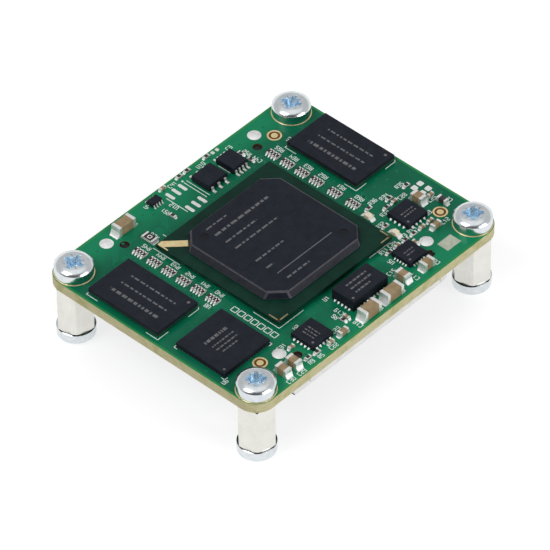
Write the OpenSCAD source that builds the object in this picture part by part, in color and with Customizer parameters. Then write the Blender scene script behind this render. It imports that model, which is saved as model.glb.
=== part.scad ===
/* [Board] */
// Length of the circuit board along X
board_l = 50; // [49:0.5:60]
// Width of the circuit board along Y
board_w = 40; // [39.5:0.5:50]
// Thickness of the laminate
board_t = 1.6; // [0.8:0.1:2.4]
// Radius of the board's corners
board_r = 3; // [1:0.25:4]
// Distance of each mounting hole from both edges
hole_inset = 3; // [2.9:0.1:3.4]
// Thickness of exposed copper
copper_t = 0.05; // [0.03:0.01:0.1]
// Width of the gold ring that shows around a screw head
pad_rim = 0.1; // [0.05:0.05:0.4]

/* [Screws and spacers] */
// Diameter of a screw's shank
shank_d = 2.9; // [2.4:0.1:3]
// Play of the shank in a spacer's bore, on the diameter
bore_play = 0.1; // [0.05:0.05:0.3]
// Play of the shank in the board's hole, on the diameter
hole_play = 0.3; // [0.1:0.05:0.6]
// Diameter of a pan head
head_d = 5.6; // [5:0.1:6]
// Height of a pan head
head_h = 1.9; // [1.7:0.1:3]
// Diameter of the flat in the middle of a pan head
crown_flat_d = 3.5; // [3.4:0.1:4.2]
// Radius of the crown that falls away around the flat
crown_r = 1.35; // [1.2:0.05:4]
// Radius of the round shoulder between crown and side
shoulder_r = 0.15; // [0.1:0.05:0.4]
// Span of the cross recess at the crown
recess_span = 3; // [2.4:0.1:3.4]
// Span of the cross recess at its floor
recess_floor = 1.2; // [0.8:0.1:1.6]
// Depth of the cross recess
recess_depth = 1.3; // [0.8:0.1:1.6]
// Thickness of one wing of the cross recess
recess_wing = 0.65; // [0.4:0.05:0.8]
// Diameter of the cone in the middle of the recess, at the crown
recess_cone = 2.1; // [1.3:0.1:2.3]
// Depth of the four fine ticks between the wings
tick_depth = 0.2; // [0.05:0.01:0.3]
// How far an upper screw reaches into its spacer
upper_bite = 3.4; // [2.5:0.1:3.6]
// Gap between the tips of the two screws in a spacer
tip_gap = 0.6; // [0.3:0.1:1.5]
// Chamfer at a screw's tip
tip_chamfer = 0.3; // [0.1:0.05:0.5]
// Size of a spacer across its flats
spacer_af = 5; // [4.5:0.1:6]
// Length of a spacer
spacer_l = 8; // [7:0.5:12]
// Diameter of the turned ends of a spacer
spacer_end_d = 4.8; // [4.2:0.1:5]
// Height of the turned chamfer at a spacer's corners
spacer_chamfer = 0.35; // [0.1:0.05:0.5]
// Turn of the hexagons about Z
spacer_turn = 45; // [0:1:60]

/* [Logic chip] */
// Side of the square substrate
logic_size = 23; // [21:0.5:24]
// Centre of the chip along X, from the board's middle
logic_x = 0.2; // [-0.5:0.1:0.5]
// Centre of the chip along Y, from the board's middle
logic_y = 0.2; // [-0.4:0.1:0.4]
// Height of a reflowed ball
logic_ball_h = 0.45; // [0.3:0.05:0.6]
// Diameter of a reflowed ball
logic_ball_d = 0.6; // [0.4:0.05:0.7]
// Distance from ball to ball
logic_pitch = 1; // [0.9:0.1:1.5]
// Distance of the outer balls from the substrate's edge
logic_ball_edge = 1; // [0.6:0.1:2]
// Thickness of the substrate
logic_base_t = 0.56; // [0.3:0.02:0.8]
// Distance of the moulded cap from the substrate's edge
cap_inset = 1.8; // [1:0.1:3]
// Height of the moulded cap
cap_h = 1.17; // [0.6:0.01:1.5]
// How far each side of the cap leans in
cap_draft = 0.65; // [0.2:0.05:1]
// Leg of the cap's corner chamfers at the substrate
cap_corner = 2.7; // [1.5:0.1:4]
// Leg of the cap's corner chamfers at the top
cap_corner_top = 1.9; // [1:0.1:3]
// Diameter of the ejector marks on the cap
ejector_d = 1.3; // [0.8:0.1:2]
// Depth of the ejector marks
ejector_depth = 0.05; // [0.02:0.01:0.2]
// Distance of the ejector marks from the cap's flanks
ejector_inset = 2.3; // [1.5:0.1:4]
// Width of the gold strip left by the mould's gate
gate_w = 1.2; // [0.6:0.1:1.4]
// Length of the gold corner marks
corner_mark_l = 1.9; // [0.8:0.1:2.5]
// Width of the gold corner marks
corner_mark_w = 0.2; // [0.15:0.05:0.5]
// Distance of the gold marks from the substrate's edge
mark_inset = 0.15; // [0.1:0.05:0.6]

/* [Memory chips] */
// Width of a memory chip along X
memory_w = 8; // [7:0.25:8.5]
// Length of a memory chip along Y
memory_l = 13; // [11:0.25:13.5]
// Height of the balls
memory_ball_h = 0.3; // [0.2:0.05:0.4]
// Diameter of the balls
memory_ball_d = 0.45; // [0.3:0.05:0.5]
// Distance from ball to ball
memory_pitch = 0.8; // [0.65:0.05:1]
// Distance of the outer balls from the chip's edges
memory_ball_edge = 0.5; // [0.4:0.05:1.2]
// Columns of balls on each side of a chip
memory_columns = 3; // [1:1:3]
// Thickness of the base laminate
memory_base_t = 0.25; // [0.15:0.05:0.4]
// Height of the mould
memory_mould_h = 0.6; // [0.4:0.05:1]
// Distance of the memory chips' centres from the board's middle along Y
memory_y = 6; // [5.5:0.25:6.5]

/* [Flat chips] */
// Side of the network chip
network_size = 9; // [8:0.25:9.5]
// Height of the network chip
network_h = 0.9; // [0.6:0.05:1.2]
// Length of the power module along X
power_l = 7; // [6:0.25:7.5]
// Width of the power module along Y
power_w = 4; // [3:0.25:4.5]
// Height of the power module
power_h = 1.85; // [1:0.05:2.5]
// Side of the supply chip
supply_size = 4.1; // [3.5:0.1:4.4]
// Side of the clock chip
clock_size = 4; // [3.5:0.1:4.4]
// Side of the monitor chip
monitor_size = 3.5; // [3:0.1:3.8]
// Height of the supply, clock and monitor chips
flat_h = 0.85; // [0.6:0.05:1.2]
// Thickness of the pads under flat chips
flat_pad_t = 0.2; // [0.1:0.05:0.3]
// Length of the pads under flat chips
flat_pad_l = 0.4; // [0.25:0.05:0.6]

/* [Leaded chips] */
// Body of the six-lead chip along X
six_l = 3.85; // [3.5:0.05:4]
// Body of the eight-lead chip along X
eight_l = 3; // [2.8:0.05:3.1]
// Width of both bodies between their rows of leads
leaded_w = 3.4; // [3:0.1:3.8]
// Span of both chips over their feet
leaded_span = 5; // [4.7:0.1:5.4]
// Height of both bodies
leaded_h = 1.15; // [0.8:0.05:1.5]
// Body of the tiny chip along X
tiny_l = 2; // [1.8:0.1:2.2]
// Width of the tiny chip's body
tiny_w = 1.3; // [1.1:0.1:1.5]
// Span of the tiny chip over its feet
tiny_span = 2.1; // [1.9:0.1:2.4]
// Height of the tiny chip's body
tiny_h = 0.75; // [0.6:0.05:1]
// Thickness of the leads
lead_t = 0.15; // [0.1:0.01:0.2]
// Lean of the moulded flanks
mould_lean = 0.1; // [0.05:0.01:0.15]

/* [Chip passives] */
// Length, width, height and terminal length of the large capacitors
large_cap = [3.2, 1.6, 1.6, 0.5]; // [0.2:0.05:4]
// Length, width, height and terminal length of the medium capacitors
medium_cap = [2, 1.25, 1.25, 0.45]; // [0.2:0.05:4]
// Length, width, height and terminal length of the small capacitors
small_cap = [1.6, 0.8, 0.8, 0.35]; // [0.2:0.05:4]
// Length, width, height and terminal length of the tiny capacitors
tiny_cap = [1, 0.5, 0.5, 0.25]; // [0.2:0.05:4]
// Length, width, height and terminal length of the resistors
resistor = [1, 0.5, 0.35, 0.22]; // [0.2:0.05:4]
// Length, width, height and terminal length of the jumper resistor
jumper = [2, 1.25, 0.5, 0.3]; // [0.2:0.05:4]
// Length, width, height and terminal length of the ferrite bead
bead = [1.6, 0.8, 0.8, 0.35]; // [0.2:0.05:4]
// Gap between the logic chip and the jumper resistor
jumper_gap = 1.1; // [0.8:0.1:1.5]
// Length, width, base height and terminal length of the diodes
diode = [1.6, 0.9, 0.3, 0.3]; // [0.2:0.05:4]
// Gap between the logic chip and the diodes
diode_gap = 0.95; // [0.7:0.05:1.1]
// Height of the diodes' lenses above their bases
lens_h = 0.4; // [0.2:0.05:0.8]
// Wall of the metal end terminals
terminal_t = 0.03; // [0.02:0.01:0.06]
// Length of a resistor array along Y
array_l = 2; // [1.8:0.1:2.2]
// Width of a resistor array along X
array_w = 1; // [0.8:0.1:1.2]
// Height of a resistor array
array_h = 0.4; // [0.3:0.05:0.6]
// Distance from element to element in an array
array_element = 0.5; // [0.4:0.05:0.5]
// Distance from array to array along a column
array_pitch = 2.75; // [2.5:0.05:3]
// Wider distance below the fourth array of the right column
array_gap = 3.4; // [3:0.1:3.5]
// Gap between the logic chip and a column of arrays
array_inset = 1.5; // [1.2:0.1:1.8]
// First array of a column, from the board's middle along Y
array_y = 12.8; // [12.5:0.1:13]

/* [Connectors] */
// Length of a connector over its shield
conn_l = 31; // [29.5:0.5:32]
// Width of a connector over its shield
conn_w = 4.7; // [4.4:0.1:5.4]
// Height of a connector below the board
conn_h = 4; // [3.5:0.1:5]
// Distance of the front connector's axis from the front edge
conn_front = 4.3; // [4:0.1:5]
// Distance of the rear connector's axis from the rear edge
conn_rear = 3.4; // [3.2:0.1:4.2]
// Thickness of the shield
shield_t = 0.2; // [0.1:0.05:0.3]
// Height of the shield's wall
shield_h = 3.2; // [2.5:0.1:3.3]
// Gap between the board and a housing, where the contact tails lie
seat_gap = 0.3; // [0.2:0.05:0.4]
// Width of the mating channel
channel_w = 2.4; // [2.2:0.1:2.8]
// Depth of the mating channel
channel_depth = 2.8; // [2:0.1:3]
// Thickness of the tongue in the channel
tongue_t = 0.8; // [0.6:0.1:1]
// How far the tongue stays below the channel's mouth
tongue_drop = 0.5; // [0.3:0.1:1]
// Contacts in one row
conn_pins = 50; // [10:1:50]
// Distance from contact to contact
conn_pitch = 0.5; // [0.4:0.05:0.5]
// Width of a contact
contact_w = 0.2; // [0.15:0.01:0.25]
// Thickness of a contact
contact_t = 0.12; // [0.08:0.01:0.15]
// How far the contact tails show beside the shield
tail_l = 0.35; // [0.1:0.05:0.6]
// Diameter of the alignment pegs
peg_d = 1.3; // [1:0.1:1.4]
// Diameter of the shield's solder posts
post_d = 0.9; // [0.6:0.1:1]
// Play of pegs and posts in the board, on the diameter
peg_play = 0.1; // [0.05:0.05:0.2]
// How far a peg ends below the board's top
peg_drop = 0.35; // [0.1:0.05:0.6]
// Distance of a peg and a post from the connector's axis
peg_offset = 1; // [0.9:0.05:1.2]
// Distance of the posts from the connector's ends
post_inset = 0.55; // [0.5:0.05:0.8]
// Distance from a peg to the post beside it, along X
peg_to_post = 1.5; // [1.2:0.1:1.6]

/* [Solder and marks] */
// Diameter of the posts' solder joints
joint_d = 2.05; // [1.6:0.05:2.2]
// Height of the posts' solder joints
joint_h = 0.22; // [0.1:0.02:0.4]
// Diameter of a fiducial's dot
dot_d = 1; // [0.6:0.1:1.2]
// Inner diameter of a fiducial's ring
ring_in = 1.65; // [1.4:0.05:1.8]
// Outer diameter of a fiducial's ring
ring_out = 2.15; // [2:0.05:2.4]

/* [Hidden] */
$fn = 48;

// Levels of the stack, from the lower screw heads up
spacer_z = head_h;
board_z = spacer_z + spacer_l + copper_t;
top_z = board_z + board_t;
upper_seat_z = top_z + copper_t;

// Fits that follow from the shank
hole_d = shank_d + hole_play;
bore_d = shank_d + bore_play;
upper_shank_l = board_t + 2 * copper_t + upper_bite;
lower_shank_l = spacer_l - upper_bite - tip_gap;
upper_turns = [43, 43, 10, 22];
lower_turn = 20;

// Places on the board: an anchor on X with a distance from it, then the same on Y, then a turn.
// A distance from LEFT, RIGHT, FRONT or REAR runs inwards from that edge, and from MID along the axis.
LEFT = -1;
RIGHT = 1;
FRONT = -1;
REAR = 1;
MID = 0;
UP = 90;
function from_edge(anchor, distance, size) = anchor == MID ? distance : anchor * (size / 2 - distance);
function place(p) = [from_edge(p[0], p[1], board_l), from_edge(p[2], p[3], board_w)];

logic_at = [MID, logic_x, MID, logic_y, 0];
memory_left_at = [LEFT, 5.15, MID, memory_y, 0];
memory_right_at = [RIGHT, 4.8, MID, memory_y, 0];
network_at = [LEFT, 6.1, MID, -8, 0];
power_at = [MID, 1.3, FRONT, 5.3, 0];
supply_at = [MID, -9.5, FRONT, 4.25, 0];
clock_at = [RIGHT, 8.05, MID, -9.4, 0];
monitor_at = [MID, 11.2, FRONT, 5.1, 0];
six_at = [MID, 3.95, REAR, 4.1, 0];
eight_at = [MID, 8.4, REAR, 4.2, 0];
tiny_at = [MID, -4.6, REAR, 1.65, 0];
large_caps_at = [[MID, -11.3, REAR, 2.2, 0], [MID, -1, FRONT, 1.45, 0], [MID, 3.6, FRONT, 1.5, 0]];
medium_caps_at = [[LEFT, 7.65, FRONT, 2.35, UP], [LEFT, 9.75, FRONT, 2.35, UP],
    [MID, 7.2, FRONT, 2.65, UP], [RIGHT, 4.7, MID, -8.45, UP], [MID, 11.2, FRONT, 1.85, 0]];
small_caps_at = [[MID, -6.3, FRONT, 1.5, 0], [RIGHT, 7, MID, -13.75, 0]];
tiny_caps_at = [[MID, -13.1, FRONT, 4.8, 0], [MID, -8.75, FRONT, 1.5, 0], [RIGHT, 2.8, MID, -9, 0],
    [MID, -1.85, REAR, 0.6, 0], [MID, -3.7, FRONT, 3.2, UP], [MID, 11.4, FRONT, 7.5, 0],
    [RIGHT, 8.5, MID, -12.5, 0], [RIGHT, 6.8, MID, -12.5, 0], [RIGHT, 7.2, MID, -6.2, 0],
    [MID, 13.6, FRONT, 6.1, UP]];
resistors_at = [[MID, -13, FRONT, 1.8, 0], [MID, -11.4, FRONT, 1.6, 0], [MID, -4.4, FRONT, 3.2, UP],
    [MID, -4.85, REAR, 5.4, UP], [MID, 10.8, REAR, 3.75, UP], [MID, 10.8, REAR, 5.6, UP],
    [MID, 1.5, REAR, 0.6, 0], [MID, 3.1, REAR, 0.6, 0], [MID, 7.05, REAR, 0.6, 0],
    [MID, 9.75, FRONT, 7.5, 0], [MID, 13.1, FRONT, 7.5, 0], [MID, 14.8, FRONT, 7.5, 0],
    [MID, 14.4, MID, -4.5, 0], [MID, 13.3, MID, -8.6, 0], [RIGHT, 7.2, MID, -5.25, 0],
    [RIGHT, 3.6, MID, -5.2, 0], [RIGHT, 8.8, MID, -6.2, 0]];
jumpers_at = [[MID, -10.3, MID, logic_y + (logic_size + jumper[0]) / 2 + jumper_gap, UP]];
beads_at = [[RIGHT, 2.6, MID, -11.1, UP]];
diodes_at = [for (y = [-5.6, -10.6]) [MID, logic_x + (logic_size + diode[1]) / 2 + diode_gap, MID, y, UP]];
fiducials_at = [[LEFT, 7, FRONT, 6, 0], [RIGHT, 4.35, FRONT, 7.8, 0], [RIGHT, 8.2, REAR, 4.55, 0]];

// Arrays stand in a column on each side of the logic chip
array_x = logic_size / 2 + array_inset + array_w / 2;
left_arrays_at = [for (i = [0:5]) [MID, logic_x - array_x, MID, array_y - i * array_pitch, 0]];
right_arrays_at = [for (i = [0:5]) [MID, logic_x + array_x, MID,
    array_y - min(i, 3) * array_pitch - max(i - 3, 0) * array_gap, 0]];

// Decoupling capacitors under the logic chip, on the board's lower face
under_columns = 5;
under_rows = 4;
under_step = [3.4, 3];
under_caps_at = [for (i = [0:under_columns - 1], j = [0:under_rows - 1])
    [MID, logic_x + (i - (under_columns - 1) / 2) * under_step[0],
     MID, logic_y + (j - (under_rows - 1) / 2) * under_step[1], 0]];

// Pads of parts that are not fitted: six long ones, four square ones and two small ones
six_pads_at = [for (i = [-1:1], row = [2.35, 6.1]) [MID, -0.88 + i * 1.25, REAR, row, UP]];
six_pad = [1.7, 0.55];
six_pad_round = 0.25;
four_pads_at = [for (x = [1.9, 3.1], y = [-6.3, -7.8]) [RIGHT, x, MID, y, 0]];
four_pad = [0.9, 0.9];
two_pads_at = [for (x = [8.35, 9.25]) [MID, x, REAR, 0.6, 0]];
two_pad = [0.55, 0.6];
pad_round = 0.2;

// Finishes
mask_green = [0.04, 0.42, 0.27];
gold = [0.92, 0.8, 0.5];
solder = [0.86, 0.86, 0.85];
mould_black = [0.17, 0.17, 0.2];
substrate_green = [0.04, 0.22, 0.16];
ceramic_tan = [0.65, 0.51, 0.37];
resistor_black = [0.09, 0.09, 0.1];
lens_cream = [0.94, 0.9, 0.78];
housing_black = [0.08, 0.08, 0.08];
shield_grey = [0.82, 0.82, 0.8];
zinc = [0.74, 0.78, 0.8];
nickel = [0.85, 0.85, 0.82];

// Shared forms

// Plate outline with true round corners
module round_plate(l, w, r) {
    square([l - 2 * r, w], center = true);
    square([l, w - 2 * r], center = true);
    for (x = [-1, 1], y = [-1, 1]) translate([x * (l / 2 - r), y * (w / 2 - r)]) circle(r);
}

// Block that stands on the plane z = 0, centred on X and Y
module block(size, z = 0) {
    translate([0, 0, z + size[2] / 2]) cube(size, center = true);
}

// Profile in X and Z, drawn out along Y
module along_y(length) {
    rotate([90, 0, 0]) linear_extrude(length, center = true) children();
}

// Children on the board's top, at each place of a list
module on_top(places) {
    for (p = places) translate([place(p)[0], place(p)[1], top_z]) rotate(p[4]) children();
}

// Children hanging from the board's lower face, at each place of a list
module on_bottom(places) {
    for (p = places) translate([place(p)[0], place(p)[1], board_z]) rotate([180, 0, p[4]]) children();
}

// Children at the four mounting holes
module at_corners(z) {
    for (x = [-1, 1], y = [-1, 1])
        translate([x * (board_l / 2 - hole_inset), y * (board_w / 2 - hole_inset), z]) children();
}

// Square grid of solder balls, with the columns nearer than inner to the middle left out
module ball_grid(size, pitch, edge, d, h, inner = 0) {
    columns = floor((size[0] - 2 * edge) / pitch + 0.001);
    rows = floor((size[1] - 2 * edge) / pitch + 0.001);
    for (i = [0:columns], j = [0:rows]) {
        x = (i - columns / 2) * pitch;
        if (abs(x) >= inner) translate([x, (j - rows / 2) * pitch, 0]) cylinder(d = d, h = h);
    }
}

// Circuit board and what is plated on it

module circuit_board() {
    color(mask_green) translate([0, 0, board_z]) linear_extrude(board_t) difference() {
        round_plate(board_l, board_w, board_r);
        at_corners(0) circle(d = hole_d);
        for (y = connector_rows) for (end = [-1, 1]) {
            translate([end * peg_x, y - peg_offset]) circle(d = peg_d + peg_play);
            translate([end * post_x, y + peg_offset]) circle(d = post_d + peg_play);
        }
    }
}

module ring_pad() {
    linear_extrude(copper_t) difference() {
        circle(d = head_d + 2 * pad_rim);
        circle(d = hole_d);
    }
}

module mounting_pads() {
    color(gold) {
        at_corners(top_z) ring_pad();
        at_corners(board_z - copper_t) ring_pad();
    }
}

module fiducial_marks() {
    color(gold) on_top(fiducials_at) {
        cylinder(d = dot_d, h = copper_t);
        linear_extrude(copper_t) difference() {
            circle(d = ring_out);
            circle(d = ring_in);
        }
    }
}

// A solder joint is a cap of a ball that covers the end of its post
module post_solder_joints() {
    ball_r = (joint_d * joint_d / 4 + joint_h * joint_h) / (2 * joint_h);
    color(solder) for (y = connector_rows, end = [-1, 1])
        translate([end * post_x, y + peg_offset, top_z]) rotate_extrude() intersection() {
            translate([0, joint_h - ball_r]) circle(ball_r, $fn = 96);
            square([joint_d, joint_h]);
        }
}

module bare_pads() {
    color(solder) {
        on_top(six_pads_at) linear_extrude(copper_t) round_plate(six_pad[0], six_pad[1], six_pad_round);
        on_top(four_pads_at) linear_extrude(copper_t) round_plate(four_pad[0], four_pad[1], pad_round);
        on_top(two_pads_at) linear_extrude(copper_t) round_plate(two_pad[0], two_pad[1], pad_round);
    }
}

// Logic chip: balls, substrate, moulded cap and gold marks

logic_top = logic_ball_h + logic_base_t;
cap_size = logic_size - 2 * cap_inset;
cap_top_size = cap_size - 2 * cap_draft;

// Bar with leaning flanks, of the cap's height
module cap_bar(low, high) {
    along_y(2 * logic_size) polygon([[-low / 2, 0], [low / 2, 0], [high / 2, cap_h], [-high / 2, cap_h]]);
}

module logic_chip_balls() {
    color(solder) on_top([logic_at])
        ball_grid([logic_size, logic_size], logic_pitch, logic_ball_edge, logic_ball_d, logic_ball_h);
}

module logic_chip_substrate() {
    color(substrate_green) on_top([logic_at]) block([logic_size, logic_size, logic_base_t], logic_ball_h);
}

module logic_chip_cap() {
    diagonal = sqrt(2) * (cap_size - cap_corner);
    diagonal_top = sqrt(2) * (cap_top_size - cap_corner_top);
    mark = cap_top_size / 2 - ejector_inset;
    color(mould_black) on_top([logic_at]) translate([0, 0, logic_top]) difference() {
        intersection() {
            cap_bar(cap_size, cap_top_size);
            rotate(90) cap_bar(cap_size, cap_top_size);
            rotate(45) cap_bar(diagonal, diagonal_top);
            rotate(135) cap_bar(diagonal, diagonal_top);
        }
        for (side = [-1, 1])
            translate([side * mark, -side * mark, cap_h - ejector_depth]) cylinder(d = ejector_d, h = cap_h);
    }
}

module corner_mark() {
    square([corner_mark_l, corner_mark_w]);
    square([corner_mark_w, corner_mark_l]);
}

module logic_chip_gold_marks() {
    half = logic_size / 2 - mark_inset;
    gate_from = (cap_size - cap_corner) / sqrt(2);
    color(gold) on_top([logic_at]) translate([0, 0, logic_top]) linear_extrude(copper_t) {
        intersection() {
            rotate(135) translate([gate_from, -gate_w / 2]) square([logic_size, gate_w]);
            square(2 * half, center = true);
        }
        for (turn = [0, 90]) rotate(turn) translate([-half, -half]) corner_mark();
        translate([-half, half - corner_mark_l]) square([corner_mark_w, corner_mark_l]);
    }
}

// Memory chips

module memory_balls(at) {
    color(solder) on_top([at]) ball_grid([memory_w, memory_l], memory_pitch, memory_ball_edge, memory_ball_d,
        memory_ball_h, memory_w / 2 - memory_ball_edge - (memory_columns - 0.5) * memory_pitch);
}

module memory_base(at) {
    color(substrate_green) on_top([at]) block([memory_w, memory_l, memory_base_t], memory_ball_h);
}

module memory_mould(at) {
    color(mould_black) on_top([at])
        block([memory_w, memory_l, memory_mould_h], memory_ball_h + memory_base_t);
}

module memory_left_balls() { memory_balls(memory_left_at); }
module memory_left_base() { memory_base(memory_left_at); }
module memory_left_mould() { memory_mould(memory_left_at); }
module memory_right_balls() { memory_balls(memory_right_at); }
module memory_right_base() { memory_base(memory_right_at); }
module memory_right_mould() { memory_mould(memory_right_at); }

// Flat chips: a mould around a heat pad and rows of pads along its edges

// Pads along both ends of X and Y; rows is [pads along X, pads along Y, pitch, pad width]
module flat_pads(size, rows) {
    heat_margin = 2 * (flat_pad_l + rows[2] / 2);
    block([size[0] - 2 * heat_margin, size[1] - 2 * heat_margin, flat_pad_t]);
    for (side = [-1, 1]) {
        for (i = [0:rows[0] - 1])
            translate([(i - (rows[0] - 1) / 2) * rows[2], side * (size[1] - flat_pad_l) / 2, 0])
                block([rows[3], flat_pad_l, flat_pad_t]);
        for (i = [0:rows[1] - 1])
            translate([side * (size[0] - flat_pad_l) / 2, (i - (rows[1] - 1) / 2) * rows[2], 0])
                block([flat_pad_l, rows[3], flat_pad_t]);
    }
}

module flat_mould(size, rows) {
    difference() {
        block(size);
        flat_pads(size, rows);
    }
}

// How many pads fit on a side, clear of the pads around the corner
corner_gap = 0.1;
function pads_on(side, pad) = floor((side - 2 * (flat_pad_l + corner_gap) - pad[1]) / pad[0] + 1);
function pad_rows(size, pad) = [pads_on(size[0], pad), pads_on(size[1], pad), pad[0], pad[1]];

// Pitch and width of fine, medium and coarse pads
fine_pad = [0.5, 0.25];
medium_pad = [0.66, 0.33];
coarse_pad = [0.8, 0.35];

network_body = [network_size, network_size, network_h];
network_rows = pad_rows(network_body, fine_pad);
power_body = [power_l, power_w, power_h];
power_rows = pad_rows(power_body, medium_pad);
supply_body = [supply_size, supply_size, flat_h];
supply_rows = pad_rows(supply_body, medium_pad);
clock_body = [clock_size, clock_size, flat_h];
clock_rows = pad_rows(clock_body, coarse_pad);
monitor_body = [monitor_size, monitor_size, flat_h];
monitor_rows = pad_rows(monitor_body, fine_pad);

module network_chip_body() { color(mould_black) on_top([network_at]) flat_mould(network_body, network_rows); }
module network_chip_pads() { color(solder) on_top([network_at]) flat_pads(network_body, network_rows); }
module power_module_body() { color(mould_black) on_top([power_at]) flat_mould(power_body, power_rows); }
module power_module_pads() { color(solder) on_top([power_at]) flat_pads(power_body, power_rows); }
module supply_chip_body() { color(mould_black) on_top([supply_at]) flat_mould(supply_body, supply_rows); }
module supply_chip_pads() { color(solder) on_top([supply_at]) flat_pads(supply_body, supply_rows); }
module clock_chip_body() { color(mould_black) on_top([clock_at]) flat_mould(clock_body, clock_rows); }
module clock_chip_pads() { color(solder) on_top([clock_at]) flat_pads(clock_body, clock_rows); }
module monitor_chip_body() { color(mould_black) on_top([monitor_at]) flat_mould(monitor_body, monitor_rows); }
module monitor_chip_pads() { color(solder) on_top([monitor_at]) flat_pads(monitor_body, monitor_rows); }

// Leaded chips: size is [length, width, height, span over the feet], leads is [per side, pitch, width, foot]

six_size = [six_l, leaded_w, leaded_h, leaded_span];
six_leads = [3, 1.27, 0.42, 0.5];
eight_size = [eight_l, leaded_w, leaded_h, leaded_span];
eight_leads = [4, 0.68, 0.32, 0.5];
tiny_size = [tiny_l, tiny_w, tiny_h, tiny_span];
tiny_leads = [4, 0.5, 0.2, 0.2];
chip_lift = 0.08;

// Moulded block whose flanks lean in above and below the band where the leads leave
module leaded_flanks(width, height, length) {
    half = width / 2;
    band_low = (height - lead_t) / 2;
    band_high = (height + lead_t) / 2;
    side = [[half - mould_lean, 0], [half, band_low], [half, band_high], [half - mould_lean, height]];
    along_y(length) polygon(concat(side, [for (i = [3:-1:0]) [-side[i][0], side[i][1]]]));
}

module leaded_body(size) {
    height = size[2] - chip_lift;
    translate([0, 0, chip_lift]) intersection() {
        leaded_flanks(size[0], height, 2 * size[1]);
        rotate(90) leaded_flanks(size[1], height, 2 * size[0]);
    }
}

// One gull-wing lead leaves the body at half height, bends down and ends in a flat foot
module gull_lead(size, leads) {
    out = size[1] / 2;
    toe = size[3] / 2;
    heel = toe - leads[3];
    knee = (out + heel) / 2;
    exit_z = (size[2] + chip_lift) / 2;
    rotate(90) along_y(leads[2]) polygon([[out, exit_z + lead_t / 2], [knee, exit_z + lead_t / 2],
        [heel, lead_t], [toe, lead_t], [toe, 0], [knee, 0], [out, exit_z - lead_t / 2]]);
}

module gull_leads(size, leads) {
    for (turn = [0, 180], i = [0:leads[0] - 1])
        rotate(turn) translate([(i - (leads[0] - 1) / 2) * leads[1], 0, 0]) gull_lead(size, leads);
}

module six_lead_chip_body() { color(mould_black) on_top([six_at]) leaded_body(six_size); }
module six_lead_chip_leads() { color(solder) on_top([six_at]) gull_leads(six_size, six_leads); }
module eight_lead_chip_body() { color(mould_black) on_top([eight_at]) leaded_body(eight_size); }
module eight_lead_chip_leads() { color(solder) on_top([eight_at]) gull_leads(eight_size, eight_leads); }
module tiny_chip_body() { color(mould_black) on_top([tiny_at]) leaded_body(tiny_size); }
module tiny_chip_leads() { color(solder) on_top([tiny_at]) gull_leads(tiny_size, tiny_leads); }

// Chip passives: a block in two metal end terminals; size is [length, width, height, terminal]

module passive_body(size) {
    block([size[0] - 2 * terminal_t, size[1] - 2 * terminal_t, size[2] - 2 * terminal_t], terminal_t);
}

module passive_terminals(size) {
    difference() {
        for (end = [-1, 1])
            translate([end * (size[0] - size[3]) / 2, 0, 0]) block([size[3], size[1], size[2]]);
        passive_body(size);
    }
}

module large_capacitor_bodies() { color(ceramic_tan) on_top(large_caps_at) passive_body(large_cap); }
module large_capacitor_terminals() { color(solder) on_top(large_caps_at) passive_terminals(large_cap); }
module medium_capacitor_bodies() { color(ceramic_tan) on_top(medium_caps_at) passive_body(medium_cap); }
module medium_capacitor_terminals() { color(solder) on_top(medium_caps_at) passive_terminals(medium_cap); }
module small_capacitor_bodies() { color(ceramic_tan) on_top(small_caps_at) passive_body(small_cap); }
module small_capacitor_terminals() { color(solder) on_top(small_caps_at) passive_terminals(small_cap); }

module tiny_capacitor_bodies() {
    color(ceramic_tan) {
        on_top(tiny_caps_at) passive_body(tiny_cap);
        on_bottom(under_caps_at) passive_body(tiny_cap);
    }
}

module tiny_capacitor_terminals() {
    color(solder) {
        on_top(tiny_caps_at) passive_terminals(tiny_cap);
        on_bottom(under_caps_at) passive_terminals(tiny_cap);
    }
}

module resistor_bodies() { color(resistor_black) on_top(resistors_at) passive_body(resistor); }
module resistor_terminals() { color(solder) on_top(resistors_at) passive_terminals(resistor); }
module jumper_resistor_body() { color(resistor_black) on_top(jumpers_at) passive_body(jumper); }
module jumper_resistor_terminals() { color(solder) on_top(jumpers_at) passive_terminals(jumper); }
module ferrite_bead_body() { color(resistor_black) on_top(beads_at) passive_body(bead); }
module ferrite_bead_terminals() { color(solder) on_top(beads_at) passive_terminals(bead); }

// A diode's lens is moulded on its base, between the terminals
module diode_lenses() {
    lens_l = diode[0] - 2 * diode[3];
    lens_w = diode[1] - 2 * terminal_t;
    color(lens_cream) on_top(diodes_at) {
        passive_body(diode);
        translate([0, 0, diode[2] - terminal_t]) along_y(lens_w) polygon([[-lens_l / 2, 0], [lens_l / 2, 0],
            [lens_l / 2 - mould_lean, lens_h], [mould_lean - lens_l / 2, lens_h]]);
    }
}

module diode_terminals() { color(solder) on_top(diodes_at) passive_terminals(diode); }

// Resistor arrays: four elements side by side, each with a terminal at both flanks
array_elements = 4;
array_reach = 0.22;
array_terminal_w = 0.3;

module array_body() {
    block([array_w - 2 * terminal_t, array_l, array_h - 2 * terminal_t], terminal_t);
}

module array_terminals() {
    difference() {
        for (side = [-1, 1], i = [0:array_elements - 1])
            translate([side * (array_w - array_reach) / 2, (i - (array_elements - 1) / 2) * array_element, 0])
                block([array_reach, array_terminal_w, array_h]);
        array_body();
    }
}

module left_array_bodies() { color(resistor_black) on_top(left_arrays_at) array_body(); }
module left_array_terminals() { color(solder) on_top(left_arrays_at) array_terminals(); }
module right_array_bodies() { color(resistor_black) on_top(right_arrays_at) array_body(); }
module right_array_terminals() { color(solder) on_top(right_arrays_at) array_terminals(); }

// Board-to-board connectors, hanging from the board's lower face

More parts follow.
